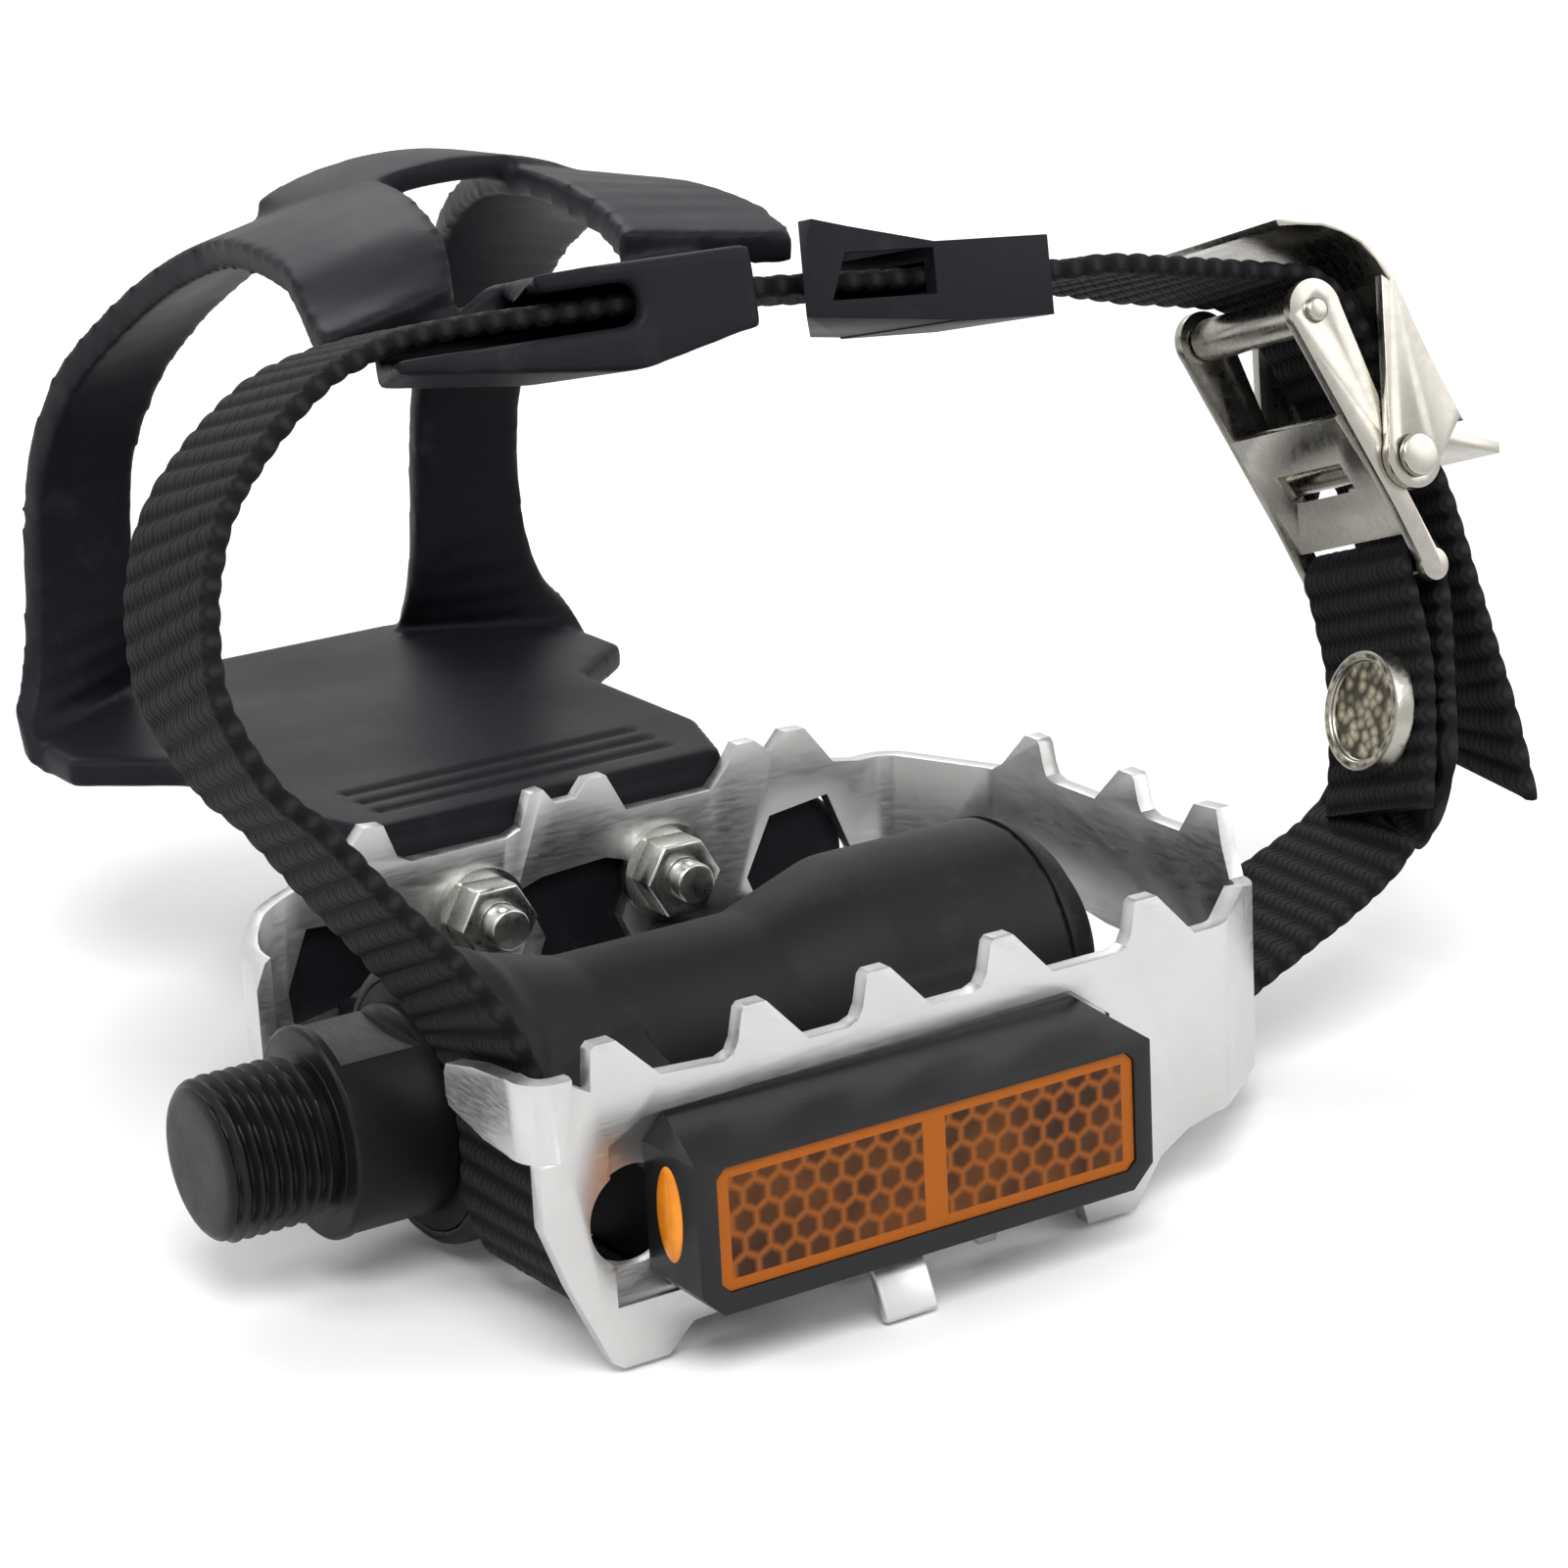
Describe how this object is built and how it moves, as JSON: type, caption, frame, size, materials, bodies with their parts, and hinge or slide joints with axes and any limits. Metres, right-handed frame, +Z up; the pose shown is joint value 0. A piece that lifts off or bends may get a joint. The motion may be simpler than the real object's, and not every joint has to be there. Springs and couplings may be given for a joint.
{
  "type": "bicycle pedal with toe clip and strap",
  "caption": "Platform bicycle pedal with a toothed cage, a toe basket, a buckled strap, reflectors and a threaded spindle.",
  "frame": {"origin": "on the spindle's axis, at the shoulder that seats against the crank arm", "axes": "+X along the spindle away from the crank, +Y towards the toe, +Z up"},
  "size_m": [0.1357, 0.1365, 0.0852],
  "materials": {
    "amber_lens": "prismatic",
    "body_resin": "moulded, satin",
    "bright_steel": "ground",
    "buckle_steel": "zinc plated",
    "cage_alloy": "brushed, lightly scuffed",
    "clip_resin": "moulded, satin",
    "plated_steel": "dull plated",
    "reflector_case": "moulded",
    "seal_rubber": "matte",
    "webbing": "woven, ribbed"
  },
  "bodies": {
    "pedal": {"pedal_body": "body_resin", "cage": "cage_alloy", "cage_screws": "plated_steel", "inner_seal": "seal_rubber", "inner_cup": "bright_steel", "outer_cup": "bright_steel", "dust_cap": "body_resin", "rear_reflector_housing": "reflector_case", "rear_reflector_lens": "amber_lens", "front_reflector_housing": "reflector_case", "front_reflector_lens": "amber_lens", "toe_clip": "clip_resin", "toe_clip_bolts": "plated_steel", "toe_clip_washers": "plated_steel", "toe_clip_nuts": "plated_steel", "strap": "webbing", "buckle_frame": "buckle_steel", "buckle_pin": "buckle_steel", "strap_button": "buckle_steel", "button_washer": "buckle_steel"},
    "spindle": {"spindle": "plated_steel", "cone": "plated_steel", "lock_washer": "plated_steel", "lock_nut": "plated_steel"},
    "inner_ball_ring": {"inner_balls": "bright_steel"},
    "outer_ball_ring": {"outer_balls": "bright_steel"},
    "lever": {"buckle_lever": "buckle_steel"},
    "roller": {"buckle_roller": "buckle_steel"},
    "slider": {"strap_slider": "clip_resin"}
  },
  "joints": [
    {"name": "spindle_spin", "type": "hinge", "parent": "pedal", "child": "spindle", "pos_m": [0, 0, 0], "axis": [1, 0, 0], "continuous": true},
    {"name": "inner_balls_spin", "type": "hinge", "parent": "pedal", "child": "inner_ball_ring", "pos_m": [0.0138, 0, 0], "axis": [1, 0, 0], "continuous": true},
    {"name": "outer_balls_spin", "type": "hinge", "parent": "pedal", "child": "outer_ball_ring", "pos_m": [0.067, 0, 0], "axis": [1, 0, 0], "continuous": true},
    {"name": "lever_open", "type": "hinge", "parent": "pedal", "child": "lever", "pos_m": [0.111, -0.00237, 0.03872], "axis": [0, 0.9511, -0.309], "range_deg": [0, 30]},
    {"name": "roller_spin", "type": "hinge", "parent": "pedal", "child": "roller", "pos_m": [0.1042, 0.0022, 0.0528], "axis": [0, 0.9511, -0.309], "continuous": true},
    {"name": "slider_move", "type": "slide", "parent": "pedal", "child": "slider", "axis": [0.9962, 0, -0.0872], "range_m": [0, 0.006]}
  ],
  "couplings": [
    {"joint": "inner_balls_spin", "follows": "spindle_spin", "ratio": 0.405},
    {"joint": "outer_balls_spin", "follows": "spindle_spin", "ratio": 0.38}
  ]
}
